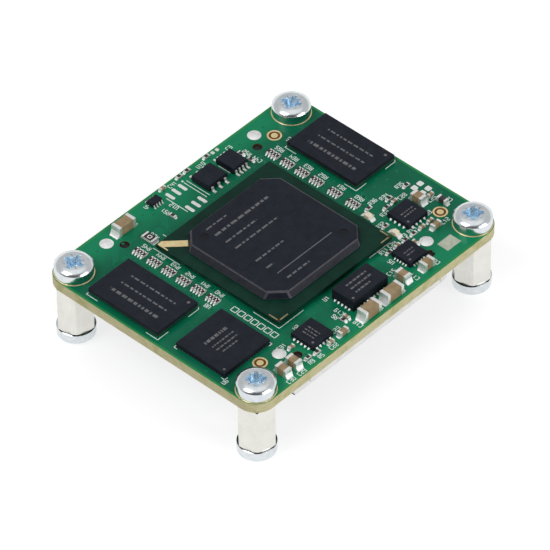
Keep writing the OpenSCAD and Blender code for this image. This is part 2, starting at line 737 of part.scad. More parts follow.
front_row = conn_front - board_w / 2;
rear_row = board_w / 2 - conn_rear;
connector_rows = [front_row, rear_row];
post_x = conn_l / 2 - post_inset;
peg_x = post_x - peg_to_post;
housing_l = conn_l - 2 * shield_t;
housing_w = conn_w - 2 * shield_t;
contact_span = (conn_pins - 1) * conn_pitch;
channel_l = contact_span + 2 * conn_pitch;

module under_board(y) {
    translate([0, y, board_z]) children();
}

// Block that hangs from the level z = -top, centred on X and Y
module hanging(size, top) {
    block(size, -top - size[2]);
}

module housing() {
    floor_z = conn_h - channel_depth;
    difference() {
        union() {
            hanging([housing_l, housing_w, conn_h - seat_gap], seat_gap);
            for (end = [-1, 1])
                translate([end * peg_x, -peg_offset, -seat_gap])
                    cylinder(d = peg_d, h = seat_gap + board_t - peg_drop);
        }
        difference() {
            hanging([channel_l, channel_w, conn_h], floor_z);
            hanging([channel_l, tongue_t, channel_depth - tongue_drop], floor_z);
        }
        for (side = [-1, 1])
            translate([0, side * (channel_w - contact_t) / 2, 0]) hanging([channel_l, contact_t, conn_h], 0);
    }
}

// The shield is a thin wall around the housing with four notches, two tabs over its ends and two posts
module shield() {
    notch = [2, 1.2];
    tab_l = 2 * post_inset;
    difference() {
        hanging([conn_l, conn_w, shield_h], seat_gap);
        hanging([housing_l, housing_w, conn_h], 0);
        for (end = [-1, 1])
            translate([end * (housing_l / 2 - notch[0]), 0, 0])
                hanging([notch[0], 2 * conn_w, conn_h], seat_gap + shield_h - notch[1]);
    }
    for (end = [-1, 1]) {
        translate([end * (conn_l - tab_l) / 2, peg_offset, 0])
            hanging([tab_l, tab_l, shield_t], seat_gap - shield_t);
        translate([end * post_x, peg_offset, shield_t - seat_gap])
            cylinder(d = post_d, h = seat_gap - shield_t + board_t);
    }
}

// A contact is an angle: its tail lies on the board and its blade on the channel's wall
module contact() {
    wall = channel_w / 2;
    tail = conn_w / 2 + tail_l;
    blade = conn_h - tongue_drop;
    rotate(90) along_y(contact_w) polygon([[wall - contact_t, 0], [tail, 0], [tail, -contact_t],
        [wall, -contact_t], [wall, -blade], [wall - contact_t, -blade]]);
}

module contacts() {
    for (turn = [0, 180], i = [0:conn_pins - 1])
        rotate(turn) translate([i * conn_pitch - contact_span / 2, 0, 0]) contact();
}

module connector_front_housing() { color(housing_black) under_board(front_row) housing(); }
module connector_front_shield() { color(shield_grey) under_board(front_row) shield(); }
module connector_front_contacts() { color(gold) under_board(front_row) contacts(); }
module connector_rear_housing() { color(housing_black) under_board(rear_row) housing(); }
module connector_rear_shield() { color(shield_grey) under_board(rear_row) shield(); }
module connector_rear_contacts() { color(gold) under_board(rear_row) contacts(); }

// Screws and spacers

// Pan head standing on z = 0: a crown falls away around its flat middle, to a small round shoulder
module pan_head() {
    flat_r = crown_flat_d / 2;
    shoulder_x = head_d / 2 - shoulder_r;
    shoulder_z = head_h - crown_r + sqrt(pow(crown_r - shoulder_r, 2) - pow(shoulder_x - flat_r, 2));
    crown_end = flat_r + (shoulder_x - flat_r) * crown_r / (crown_r - shoulder_r);
    rotate_extrude() {
        square([head_d / 2, shoulder_z]);
        square([flat_r, head_h]);
        translate([shoulder_x, shoulder_z]) circle(shoulder_r);
        intersection() {
            translate([flat_r, head_h - crown_r]) circle(crown_r);
            square([crown_end, head_h]);
        }
    }
}

// Cross recess whose wings narrow towards the floor, with fine ticks between them
module cross_recess() {
    tick_w = recess_wing / 4;
    for (turn = [0, 90])
        rotate(turn) along_y(recess_wing) polygon([[-recess_span / 2, 0], [recess_span / 2, 0],
            [recess_floor / 2, -recess_depth], [-recess_floor / 2, -recess_depth]]);
    translate([0, 0, -recess_depth]) cylinder(d1 = recess_floor, d2 = recess_cone, h = recess_depth);
    for (turn = [45, 135])
        rotate(turn) hanging([recess_span, tick_w, 2 * tick_depth], -tick_depth);
}

module screw(shank_l) {
    difference() {
        pan_head();
        translate([0, 0, head_h]) cross_recess();
    }
    translate([0, 0, tip_chamfer - shank_l]) cylinder(d = shank_d, h = shank_l - tip_chamfer);
    translate([0, 0, -shank_l]) cylinder(d1 = shank_d - 2 * tip_chamfer, d2 = shank_d, h = tip_chamfer);
}

module upper_screws() {
    corners = [[-1, -1], [1, -1], [-1, 1], [1, 1]];
    color(zinc) for (i = [0:3])
        translate([corners[i][0] * (board_l / 2 - hole_inset), corners[i][1] * (board_w / 2 - hole_inset),
            upper_seat_z]) rotate(upper_turns[i]) screw(upper_shank_l);
}

module lower_screws() {
    color(zinc) at_corners(spacer_z) rotate([180, 0, lower_turn]) screw(lower_shank_l);
}

// Hexagonal bar with turned chamfers at both ends and a bore right through
module spacers() {
    corner_r = spacer_af / sqrt(3);
    end_r = spacer_end_d / 2;
    wide_r = 2 * corner_r - end_r;
    color(nickel) at_corners(spacer_z) difference() {
        intersection() {
            rotate(spacer_turn) cylinder(r = corner_r, h = spacer_l, $fn = 6);
            rotate_extrude() polygon([[0, 0], [end_r, 0], [wide_r, 2 * spacer_chamfer],
                [wide_r, spacer_l - 2 * spacer_chamfer], [end_r, spacer_l], [0, spacer_l]]);
        }
        translate([0, 0, -spacer_l]) cylinder(d = bore_d, h = 3 * spacer_l);
    }
}

circuit_board();
mounting_pads();
fiducial_marks();
post_solder_joints();
bare_pads();
logic_chip_substrate();
logic_chip_cap();
logic_chip_balls();
logic_chip_gold_marks();
memory_left_mould();
memory_left_base();
memory_left_balls();
memory_right_mould();
memory_right_base();
memory_right_balls();
network_chip_body();
network_chip_pads();
power_module_body();
power_module_pads();
supply_chip_body();
supply_chip_pads();
clock_chip_body();
clock_chip_pads();
monitor_chip_body();
monitor_chip_pads();
six_lead_chip_body();
six_lead_chip_leads();
eight_lead_chip_body();
eight_lead_chip_leads();
tiny_chip_body();
tiny_chip_leads();
left_array_bodies();
left_array_terminals();
right_array_bodies();
right_array_terminals();
large_capacitor_bodies();
large_capacitor_terminals();
medium_capacitor_bodies();
medium_capacitor_terminals();
small_capacitor_bodies();
small_capacitor_terminals();
tiny_capacitor_bodies();
tiny_capacitor_terminals();
resistor_bodies();
resistor_terminals();
jumper_resistor_body();
jumper_resistor_terminals();
ferrite_bead_body();
ferrite_bead_terminals();
diode_lenses();
diode_terminals();
connector_front_housing();
connector_front_shield();
connector_front_contacts();
connector_rear_housing();
connector_rear_shield();
connector_rear_contacts();
upper_screws();
spacers();
lower_screws();
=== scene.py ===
import math
import random

import bmesh
import bpy
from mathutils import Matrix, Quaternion, Vector


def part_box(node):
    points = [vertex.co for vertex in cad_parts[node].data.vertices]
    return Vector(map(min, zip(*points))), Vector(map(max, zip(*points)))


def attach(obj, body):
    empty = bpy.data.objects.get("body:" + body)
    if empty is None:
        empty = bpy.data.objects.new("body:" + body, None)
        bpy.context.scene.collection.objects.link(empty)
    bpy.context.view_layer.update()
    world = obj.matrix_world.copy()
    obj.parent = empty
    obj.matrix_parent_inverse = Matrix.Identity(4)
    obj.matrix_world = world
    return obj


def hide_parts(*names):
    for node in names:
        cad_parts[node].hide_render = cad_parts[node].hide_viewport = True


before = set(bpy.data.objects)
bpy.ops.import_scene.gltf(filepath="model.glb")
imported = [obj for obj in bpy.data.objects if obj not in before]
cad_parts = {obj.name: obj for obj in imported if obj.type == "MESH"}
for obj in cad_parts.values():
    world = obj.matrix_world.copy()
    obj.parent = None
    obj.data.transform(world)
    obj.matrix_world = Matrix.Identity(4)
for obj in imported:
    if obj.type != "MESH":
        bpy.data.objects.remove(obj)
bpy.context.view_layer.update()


# Circuit board: a plate of glass-fibre laminate with a green lacquer, the solder mask, on both faces.
# It is routed out of a panel, so its edge shows the bare laminate and the layers of glass in it.
mm = 0.001
board_low, board_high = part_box("circuit_board")
top = board_high.z
bottom = board_low.z


def finish(name, colour, roughness, metallic=0.0, specular=0.3):
    """A material of one colour, to which the functions below add what its surface shows."""
    material = bpy.data.materials.new(name)
    material.use_nodes = True
    shader = material.node_tree.nodes["Principled BSDF"]
    shader.inputs["Base Color"].default_value = (*colour, 1)
    shader.inputs["Roughness"].default_value = roughness
    shader.inputs["Metallic"].default_value = metallic
    shader.inputs["Specular IOR Level"].default_value = specular
    return material


def add(material, kind, **inputs):
    """A node with the values or links that its sockets get, an underscore standing for a space."""
    tree = material.node_tree
    node = tree.nodes.new(kind)
    for socket, value in inputs.items():
        target = node.inputs[socket.replace("_", " ")]
        if isinstance(value, bpy.types.NodeSocket):
            tree.links.new(value, target)
        else:
            target.default_value = value
    return node


def place(material):
    """The point on the object, in metres."""
    return add(material, "ShaderNodeTexCoord").outputs["Object"]


def mottle(material, size, stretch=(1, 1, 1), detail=3.0):
    """Cloudy noise from 0 to 1 with spots of that size, in metres, drawn out along the stretch."""
    scale = [1 / (size * s) for s in stretch]
    point = add(material, "ShaderNodeMapping", Vector=place(material), Scale=scale)
    noise = add(material, "ShaderNodeTexNoise", Vector=point.outputs[0], Scale=1.0, Detail=detail)
    return noise.outputs[0]


def spread(material, value, low=0.3, high=0.7, to_low=0.0, to_high=1.0):
    """A value that runs from to_low to to_high while another, as a rule noise, runs from low to high."""
    node = add(material, "ShaderNodeMapRange", Value=value, From_Min=low, From_Max=high)
    node.inputs["To Min"].default_value = to_low
    node.inputs["To Max"].default_value = to_high
    return node.outputs[0]


def sum_of(material, operation, first, second):
    """One step of arithmetic on two values."""
    node = add(material, "ShaderNodeMath")
    node.operation = operation
    for socket, value in zip(node.inputs, (first, second)):
        if isinstance(value, bpy.types.NodeSocket):
            material.node_tree.links.new(value, socket)
        else:
            socket.default_value = value
    return node.outputs[0]


def blend(material, share, first, second):
    """A colour between two, each a colour or the output of another node."""
    tree = material.node_tree
    node = tree.nodes.new("ShaderNodeMix")
    node.data_type = "RGBA"
    tree.links.new(share, node.inputs[0])
    for socket, colour in ((node.inputs[6], first), (node.inputs[7], second)):
        if isinstance(colour, bpy.types.NodeSocket):
            tree.links.new(colour, socket)
        else:
            socket.default_value = (*colour, 1)
    return node.outputs[2]


def drive(material, socket, output):
    """Links an output to the shader."""
    shader = material.node_tree.nodes["Principled BSDF"]
    material.node_tree.links.new(output, shader.inputs[socket])


def relief(material, height, depth):
    """Bumps of that depth, in metres, on top of any that are there."""
    shader = material.node_tree.nodes["Principled BSDF"]
    bump = add(material, "ShaderNodeBump", Height=height, Distance=depth, Strength=1.0)
    if shader.inputs["Normal"].is_linked:
        material.node_tree.links.new(shader.inputs["Normal"].links[0].from_socket, bump.inputs["Normal"])
    drive(material, "Normal", bump.outputs[0])


def coat(name, dark, light, spots, rough, grain, depth, metallic=0.0, specular=0.3):
    """A finish mottled between two colours, with uneven gloss and a fine grain, as most surfaces have."""
    material = finish(name, dark, rough[0], metallic, specular)
    tint = spread(material, mottle(material, spots))
    drive(material, "Base Color", blend(material, tint, dark, light))
    patches = mottle(material, spots / 3)
    drive(material, "Roughness", spread(material, patches, to_low=rough[0], to_high=rough[1]))
    relief(material, mottle(material, grain), depth)
    return material


def smooth_by_angle(mesh, degrees):
    """Smooth shading with sharp edges where faces meet at more than that angle."""
    mesh.shade_smooth()
    mesh.set_sharp_from_angle(angle=math.radians(degrees))


weld = 0.0005 * mm
same_plane = math.radians(0.4)
crease = 32


def dressed_copy(node, materials, edge=0.0, segments=2):
    """A copy of a CAD node with whole faces and rounded edges, which stands for it in the picture."""
    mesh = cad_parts[node].data.copy()
    if "custom_normal" in mesh.attributes:
        mesh.attributes.remove(mesh.attributes["custom_normal"])
    shape = bmesh.new()
    shape.from_mesh(mesh)
    bmesh.ops.remove_doubles(shape, verts=shape.verts, dist=weld)
    bmesh.ops.dissolve_limit(shape, angle_limit=same_plane, verts=shape.verts, edges=shape.edges)
    shape.to_mesh(mesh)
    shape.free()
    mesh.materials.clear()
    for material in materials:
        mesh.materials.append(material)
    for face in mesh.polygons:
        face.material_index = 0
    smooth_by_angle(mesh, crease)
    piece = bpy.data.objects.new(node + "_dressed", mesh)
    bpy.context.scene.collection.objects.link(piece)
    if edge:
        bevel = piece.modifiers.new("rounded_edges", "BEVEL")
        bevel.width = edge
        bevel.segments = segments
        bevel.limit_method = "ANGLE"
        bevel.angle_limit = math.radians(crease)
        bevel.harden_normals = True
    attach(piece, "root")
    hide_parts(node)
    return piece


def paint_faces(piece, index, chosen):
    """Gives the faces for which chosen is true the piece's other material."""
    for face in piece.data.polygons:
        if chosen(face):
            face.material_index = index


mask_deep = (0.002, 0.115, 0.059)
mask_clear = (0.003, 0.170, 0.082)
mask_bare = (0.006, 0.25, 0.108)
mask_edge = (0.025, 0.25, 0.075)
clear_of_edge = 0.45 * mm
plane_from, plane_full = 2.2 * mm, 5.2 * mm
weave_size = 0.45 * mm

mask = finish("solder_mask", mask_deep, 0.22, specular=0.14)
across = add(mask, "ShaderNodeSeparateXYZ", Vector=place(mask))
from_side = sum_of(mask, "SUBTRACT", board_high.x, sum_of(mask, "ABSOLUTE", across.outputs[0], 0))
from_end = sum_of(mask, "SUBTRACT", board_high.y, sum_of(mask, "ABSOLUTE", across.outputs[1], 0))
from_edge = sum_of(mask, "MINIMUM", from_side, from_end)
over_copper = spread(mask, from_edge, 0.6 * clear_of_edge, clear_of_edge)
cloudy = blend(mask, spread(mask, mottle(mask, 9 * mm)), mask_deep, mask_clear)
over_plane = spread(mask, from_end, plane_from, plane_full, to_low=0.25)
body_tint = blend(mask, over_plane, mask_bare, cloudy)
drive(mask, "Base Color", blend(mask, over_copper, mask_edge, body_tint))
drive(mask, "Roughness", spread(mask, mottle(mask, 2 * mm), to_low=0.17, to_high=0.27))
relief(mask, mottle(mask, weave_size), 0.006 * mm)
relief(mask, mottle(mask, 0.12 * mm), 0.0012 * mm)

laminate = finish("laminate_edge", (0.65, 0.60, 0.30), 0.62, specular=0.2)
plies = mottle(laminate, 0.09 * mm, stretch=(14, 14, 1))
ply_tint = blend(laminate, spread(laminate, plies), (0.55, 0.51, 0.27), (0.74, 0.68, 0.43))
resin = spread(laminate, mottle(laminate, 1.5 * mm), 0.5, 0.72)
drive(laminate, "Base Color", blend(laminate, resin, ply_tint, (0.50, 0.48, 0.22)))
relief(laminate, plies, 0.02 * mm)
# The walls of the holes are painted dark brown: painted shade inside the holes.
painted_hole_shade = coat("hole_wall_painted_shade", (0.05, 0.02, 0.008), (0.12, 0.05, 0.02), 0.4 * mm,
             rough=(0.5, 0.7), grain=0.08 * mm, depth=0.01 * mm, specular=0.1)

across_hole = 1.3 * mm
steep = 0.5


def is_wall(face):
    """True on the board's edge and on the walls of its holes."""
    return abs(face.normal.z) < steep


def is_bored(face):
    """True on the walls of holes, which face the board itself across the hole."""
    ahead = face.center + face.normal * across_hole
    return is_wall(face) and abs(ahead.x) < board_high.x and abs(ahead.y) < board_high.y


board = dressed_copy("circuit_board", [mask, laminate, painted_hole_shade], edge=0.05 * mm)
paint_faces(board, 1, is_wall)
# Painted shade: the hole walls get the dark brown material.
paint_faces(board, 2, is_bored)


# Copper tracks under the mask: flat ribs, a lighter green than the bare laminate around them.
# They run from the resistor arrays to the chips on both sides, and in bundles along the front.
def solids(node):
    """Low and high corner of each separate solid of a CAD node."""
    shape = bmesh.new()
    shape.from_mesh(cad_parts[node].data)
    bmesh.ops.remove_doubles(shape, verts=shape.verts, dist=weld)
    unseen = set(shape.verts)
    boxes = []
    while unseen:
        waiting = [unseen.pop()]
        group = []
        while waiting:
            vertex = waiting.pop()
            group.append(vertex.co.copy())
            for edge in vertex.link_edges:
                other = edge.other_vert(vertex)
                if other in unseen:
                    unseen.remove(other)
                    waiting.append(other)
        low = Vector([min(co[i] for co in group) for i in range(3)])
        high = Vector([max(co[i] for co in group) for i in range(3)])
        boxes.append((low, high))
    shape.free()
    return sorted(boxes, key=lambda box: tuple(box[0]))


class Sheet:
    """Points and faces of a piece that is made up of many small solids."""

    def __init__(self):
        self.points = []
        self.faces = []

    def prism(self, outline, low, high):
        """A plate with that outline, counter-clockwise in X and Y, between two heights."""
        first = len(self.points)
        count = len(outline)
        self.points += [(x, y, low) for x, y in outline]
        self.points += [(x, y, high) for x, y in outline]
        self.faces.append([first + i for i in reversed(range(count))])
        self.faces.append([first + count + i for i in range(count)])
        for i in range(count):
            j = (i + 1) % count
            self.faces.append([first + i, first + j, first + count + j, first + count + i])

    def bar(self, start, end, width, low, high):
        """A flat bar with square ends, from one point to another."""
        start, end = Vector(start), Vector(end)
        along = (end - start).normalized()
        side = Vector((-along.y, along.x)) * width / 2
        outline = [start - side, end - side, end + side, start + side]
        self.prism([tuple(p) for p in outline], low, high)

    def disc(self, centre, radius, low, high, sides=20):
        """A round plate."""
        turns = [2 * math.pi * i / sides for i in range(sides)]
        outline = [(centre[0] + radius * math.cos(a), centre[1] + radius * math.sin(a)) for a in turns]
        self.prism(outline, low, high)

    def piece(self, name, material, slot=None, angle=30):
        """The finished mesh, riding on the board."""
        mesh = bpy.data.meshes.new(name)
        mesh.from_pydata(self.points, [], self.faces)
        mesh.update()
        mesh.materials.append(material)
        smooth_by_angle(mesh, angle)
        made = bpy.data.objects.new(name, mesh)
        bpy.context.scene.collection.objects.link(made)
        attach(made, "root")
        return made


track_w = 0.13 * mm
track_h = 0.012 * mm
track_finish = coat("mask_over_copper", (0.003, 0.170, 0.085), (0.006, 0.22, 0.11), 6 * mm,
                    rough=(0.15, 0.25), grain=0.2 * mm, depth=0.002 * mm, specular=0.14)
tracks = Sheet()


def track(points):
    """A track along straight runs, with a round spot at each corner."""
    for start, end in zip(points, points[1:]):
        tracks.bar(start, end, track_w, top, top + track_h)
    for corner in points[1:-1]:
        tracks.disc(corner, track_w / 2, top, top + track_h, sides=8)


chip_low, chip_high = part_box("logic_chip_substrate")
left_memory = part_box("memory_left_mould")
right_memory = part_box("memory_right_mould")
jog = 0.35 * mm
array_gaps = [("left", chip_low.x, left_memory[1].x), ("right", chip_high.x, right_memory[0].x)]
for side, inner, outer in array_gaps:
    ends = solids(side + "_array_terminals")
    middle = sum(low.x + high.x for low, high in ends) / (2 * len(ends))
    for i, (low, high) in enumerate(ends):
        x, y = (low.x + high.x) / 2, (low.y + high.y) / 2
        end = outer if (x - middle) * outer > 0 else inner
        step = math.copysign(jog, end - x)
        bend = x + 2 * step
        aside = jog if i % 2 else -jog
        track([(x, y), (bend, y), (bend + step, y + aside), (end, y + aside)])

bundle_pitch = 0.3 * mm
bundles = [((-6.9, -11.5), (-2.2, -13.4), 6), ((2.5, -11.4), (9.0, -13.0), 5),
           ((-14.2, -2.6), (-11.9, 0.8), 5), ((-17.6, 13.4), (-15.2, 16.2), 4),
           ((13.2, -3.2), (16.4, -1.3), 4), ((-9.0, 13.2), (-5.6, 14.9), 5)]
for (x0, y0), (x1, y1), count in bundles:
    run, rise = (x1 - x0) * mm, (y1 - y0) * mm
    outwards = math.copysign(bundle_pitch, y0)
    for i in range(count):
        start = Vector((x0 * mm, y0 * mm))
        if abs(run) > abs(rise):
            start.y += i * outwards
            knee = start + Vector((run - math.copysign(rise, run), 0))
        else:
            start.x += i * bundle_pitch
            knee = start + Vector((0, rise - math.copysign(run, rise)))
        end = start + Vector((run, rise))
        track([tuple(start), tuple(knee), tuple(end)])

tracks.piece("copper_tracks", track_finish, "solder_mask")


# Vias: plated holes that join the copper layers, closed over by the mask.
# Each shows as a small green ring with a dimple, and they stand close around the chips.
via_r = 0.22 * mm
via_room = 0.45 * mm
via_count = 150
via_rings = ((1.0, 0.0), (0.8, 0.016 * mm), (0.5, 0.014 * mm), (0.2, 0.003 * mm))
via_finish = coat("tented_via", (0.003, 0.12, 0.06), (0.006, 0.19, 0.095), 1 * mm,
                  rough=(0.20, 0.30), grain=0.2 * mm, depth=0.002 * mm, specular=0.14)
vias = Sheet()
standing = ("_body", "_bodies", "_mould", "_pads", "_terminals", "_substrate", "_marks", "_joints",
            "_leads", "_lenses")
body_nodes = [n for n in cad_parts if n.endswith(standing)]
taken = [box for n in body_nodes for box in solids(n) if box[1].z > top]
chance = random.Random(7)


def is_free(x, y, room):
    """True where nothing stands on the board within that room of a point."""
    inside = abs(x) < board_high.x - 2 * room and abs(y) < board_high.y - 2 * room
    return inside and not any(low.x - room < x < high.x + room and low.y - room < y < high.y + room
                              for low, high in taken)


def via(x, y):
    """A ring that stands a little proud, around a lower middle."""
    sides = 14
    turns = [2 * math.pi * i / sides for i in range(sides)]
    first = len(vias.points)
    for share, height in via_rings:
        reach = share * via_r
        vias.points += [(x + reach * math.cos(a), y + reach * math.sin(a), top + height) for a in turns]
    last = len(via_rings) - 1
    for ring in range(last):
        for i in range(sides):
            j = (i + 1) % sides
            a, b = first + ring * sides, first + (ring + 1) * sides
            vias.faces.append([a + i, a + j, b + j, b + i])
    vias.faces.append([first + last * sides + i for i in range(sides)])
    vias.faces.append([first + i for i in reversed(range(sides))])


made = 0
while made < via_count:
    x = chance.uniform(board_low.x, board_high.x)
    y = chance.uniform(board_low.y, board_high.y)
    if is_free(x, y, via_room):
        via(x, y)
        made += 1
        taken.append((Vector((x - via_r, y - via_r, 0)), Vector((x + via_r, y + via_r, 0))))
vias.piece("vias", via_finish, "solder_mask", angle=60)


# Legend: white ink that is screened on the mask, with the outlines of the parts and their numbers.
# The numbers are plain ones in a stroke letter, and a row of empty check boxes stands at the left.
ink_low = top + 0.002 * mm
ink_high = top + 0.022 * mm
ink_w = 0.11 * mm
stroke_w = 0.9 * ink_w
letter_h = 0.64 * mm
letter_rows = 4
letter_step = 3.2
legend_ink = coat("legend_ink", (0.76, 0.87, 0.81), (0.90, 0.95, 0.92), 0.5 * mm,
                  rough=(0.5, 0.7), grain=0.06 * mm, depth=0.004 * mm)
legend = Sheet()
strokes = {
    "0": ["00 20 24 04 00"], "1": ["03 14 10"], "2": ["04 24 22 02 00 20"], "3": ["04 24 20 00", "02 22"],
    "4": ["04 02 22", "24 20"], "5": ["24 04 02 22 20 00"], "6": ["24 04 00 20 22 02"], "7": ["04 24 10"],
    "8": ["00 20 24 04 00", "02 22"], "9": ["22 02 04 24 20 00"], "C": ["24 04 00 20"],
    "D": ["00 04 14 23 21 10 00"], "L": ["04 00 20"], "R": ["00 04 24 22 02", "12 20"],
    "U": ["04 00 20 24"]}


def ink_line(*points):
    """A line through points in millimetres."""
    for start, end in zip(points, points[1:]):
        legend.bar([v * mm for v in start], [v * mm for v in end], ink_w, ink_low, ink_high)


def number(words, x, y, turn=0, height=letter_h):
    """Letters and figures that start at a point in millimetres and run along a turn in degrees."""
    unit = height / letter_rows
    along = Vector((math.cos(math.radians(turn)), math.sin(math.radians(turn))))
    up = Vector((-along.y, along.x))
    for place_in_word, letter in enumerate(words):
        start = Vector((x * mm, y * mm)) + along * unit * letter_step * place_in_word
        for stroke in strokes[letter]:
            grid = [start + along * unit * int(p[0]) + up * unit * int(p[1]) for p in stroke.split()]
            for a, b in zip(grid, grid[1:]):
                legend.bar(a, b, stroke_w, ink_low, ink_high)


logic_outline = [((-11.35, -6.6), (-11.35, -11.4), (-6.5, -11.4)), ((7.1, -11.15), (11.3, -11.15)),
                 ((-11.3, 12.2), (-11.3, 7.2)), ((-8.4, 12.5), (-8.4, 13.1))]
rear_outlines = [((1.2, 18.2), (1.2, 13.8)), ((1.75, 18.2), (1.75, 13.8)), ((6.95, 17), (6.95, 14.8)),
                 ((-2.78, 17.8), (-2.78, 13.7))]
for points in logic_outline + rear_outlines:
    ink_line(*points)
beside = 0.2
rear_leg, rear_hook = 2.1, 0.4
front_leg, front_run = 2.2, 2.1
cut_run, cut = 2.3, 0.3
for low, high in (left_memory, right_memory):
    x0, y0 = low.x / mm - beside, low.y / mm - beside
    x1, y1 = high.x / mm + beside, high.y / mm + beside
    ink_line((x0, y1 - rear_leg), (x0, y1), (x0 + rear_hook, y1))
    ink_line((x0, y0 + front_leg), (x0, y0), (x0 + front_run, y0))
    ink_line((x1 - cut_run, y0), (x1 - cut, y0), (x1, y0 + cut))
network_low, network_high = (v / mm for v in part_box("network_chip_body"))
corner_run = 0.6
for x, to_x in ((network_low.x - beside, corner_run), (network_high.x + beside, -corner_run)):
    for y, to_y in ((network_low.y - beside, corner_run), (network_high.y + beside, -corner_run)):
        ink_line((x, y + to_y), (x, y), (x + to_x, y))
first_lead = (1.25 * mm, 18.5 * mm)
first_lead_r = 0.16 * mm
legend.disc(first_lead, first_lead_r, ink_low, ink_high)
box_x, box_y = -13.15, -12.2
box_side, box_pitch, box_count = 0.9, 1.22, 7
for i in range(box_count):
    x0, y0 = box_x, box_y + box_pitch * i
    x1, y1 = x0 + box_side, y0 + box_side
    ink_line((x0, y0), (x1, y0), (x1, y1), (x0, y1), (x0, y0))

upright = 90
flat_numbers = [
    ("U4", -6.2, 18.3), ("C41", -0.9, 18.75), ("U10", 4.7, 18.6), ("C3", 10.2, 18.1), ("U7", 17.2, 13.0),
    ("U6", -24.3, -13.3), ("U2", -10.1, -13.3), ("C31", -14.5, -14.4), ("C30", -18.3, -19.7),
    ("C29", -16.2, -19.7), ("R9", -13.6, -19.3), ("R5", -11.9, -19.5), ("C22", -9.6, -19.5),
    ("C23", -7.1, -17.6), ("U1", -3.2, -12.5), ("C15", 6.4, -15.6), ("R11", 8.8, -12.0),
    ("C24", 10.6, -12.0), ("R13", 12.7, -12.0), ("R14", 14.6, -12.0), ("C12", 19.1, -14.2),
    ("C25", 21.2, -9.9), ("R36", 15.2, -4.2), ("R34", 17.0, -4.7), ("R35", 20.2, -4.7),
    ("C28", 18.8, -6.5), ("R33", 14.6, -7.0), ("R32", 12.4, -8.2), ("U9", 19.0, -11.4)]
upright_numbers = [
    ("R51", -4.5, 15.3), ("U12", -2.95, 15.2), ("R52", 11.9, 15.2), ("C44", 11.9, 13.2),
    ("R20", -9.1, 13.1), ("U8", -14.4, -1.6), ("R6", -4.3, -15.9), ("C19", -3.2, -15.9),
    ("C18", -3.2, -19.4), ("C17", 8.9, -18.9), ("C21", 13.1, -18.9), ("U5", 8.9, -14.3),
    ("D2", 12.1, -13.5), ("L2", 23.7, -11.8), ("D1", 14.0, -5.9)]
for words, x, y in flat_numbers:
    number(words, x, y)
for words, x, y in upright_numbers:
    number(words, x, y, upright)
number_out, number_up = 1.35, 0.5
for node, first in (("left_array_bodies", 40), ("right_array_bodies", 60)):
    for i, (low, high) in enumerate(solids(node)):
        number("R" + str(first + i), high.x / mm + number_out, low.y / mm + number_up, upright)
legend.piece("legend", legend_ink)

label_left = (15.5 * mm, -17.2 * mm)
label_right = (18.2 * mm, -17.2 * mm)
label_w = 2.0 * mm
label_ink = coat("label_ink", (0.40, 0.43, 0.34), (0.50, 0.54, 0.43), 0.6 * mm,
                 rough=(0.6, 0.8), grain=0.08 * mm, depth=0.006 * mm)
label = Sheet()
label.bar(label_left, label_right, label_w, ink_low, ink_high)
label.piece("label_field", label_ink)


# Gold-plated copper: the rings under the screw heads and the sighting marks for the placing machine.
# The gold is a thin bath plating on nickel, a little uneven, and the marks have a dark bare ring.
gold = coat("gold_plating", (0.80, 0.62, 0.30), (0.90, 0.76, 0.46), 0.8 * mm,
            rough=(0.34, 0.5), grain=0.05 * mm, depth=0.002 * mm, metallic=0.9)
dressed_copy("mounting_pads", [gold], edge=0.02 * mm)
dressed_copy("fiducial_marks", [gold], edge=0.015 * mm)

bare_ring = coat("bare_laminate", (0.11, 0.04, 0.008), (0.19, 0.08, 0.02), 0.3 * mm,
                 rough=(0.5, 0.7), grain=0.1 * mm, depth=0.001 * mm, specular=0.2)
ring_least = 1.5 * mm
floor_r = 0.85 * mm
sunk, proud = 0.01 * mm, 0.012 * mm
mark_floor = Sheet()
for low, high in solids("fiducial_marks"):
    if high.x - low.x > ring_least:
        centre = ((low.x + high.x) / 2, (low.y + high.y) / 2)
        mark_floor.disc(centre, floor_r, top - sunk, top + proud, sides=40)
mark_floor.piece("fiducial_floors", bare_ring, "solder_mask")


# Solder: the caps over the connector posts, the tinned pads of parts that aren't fitted,
# and the fillets that climb from the pads up the end of every small part. It was melted in an oven.
solder = coat("solder", (0.75, 0.76, 0.75), (0.89, 0.90, 0.89), 0.4 * mm,
              rough=(0.45, 0.62), grain=0.07 * mm, depth=0.003 * mm, metallic=0.75)
dressed_copy("post_solder_joints", [solder], edge=0.03 * mm)
dressed_copy("bare_pads", [solder], edge=0.03 * mm)

fillets = Sheet()
root_in = 0.05 * mm
foot_h = 0.02 * mm
taper = 0.12 * mm
end_share = 0.5


def fillet(low, high, axis, sign, reach, climb, spread_out):
    """A hollow slope of solder from a terminal's outer face down to its pad."""
    steps = 6
    across_axis = 1 - axis
    above = low.z > (top + bottom) / 2
    seat = top if above else bottom
    lift = 1 if above else -1
    face = high[axis] if sign > 0 else low[axis]
    side_low, side_high = low[across_axis] - spread_out, high[across_axis] + spread_out
    profile = [(-root_in, climb)]
    profile += [(reach * t / steps, climb * (1 - t / steps) ** 2 + foot_h) for t in range(steps + 1)]
    profile += [(reach, 0.0), (-root_in, 0.0)]
    first = len(fillets.points)
    count = len(profile)
    for side in (side_low, side_high):
        for out, up in profile:
            point = [0, 0, seat + lift * up]
            point[axis] = face + sign * out
            narrowing = taper * max(out, 0) / reach
            point[across_axis] = side + (narrowing if side == side_low else -narrowing)
            fillets.points.append(tuple(point))
    turned = (sign * lift > 0) == (axis == 0)
    for i in range(count):
        j = (i + 1) % count
        quad = [first + i, first + j, first + count + j, first + count + i]
        fillets.faces.append(quad if turned else quad[::-1])
    ends = [[first + i for i in range(count)], [first + count + i for i in reversed(range(count))]]
    fillets.faces += [end[::-1] for end in ends] if turned else ends


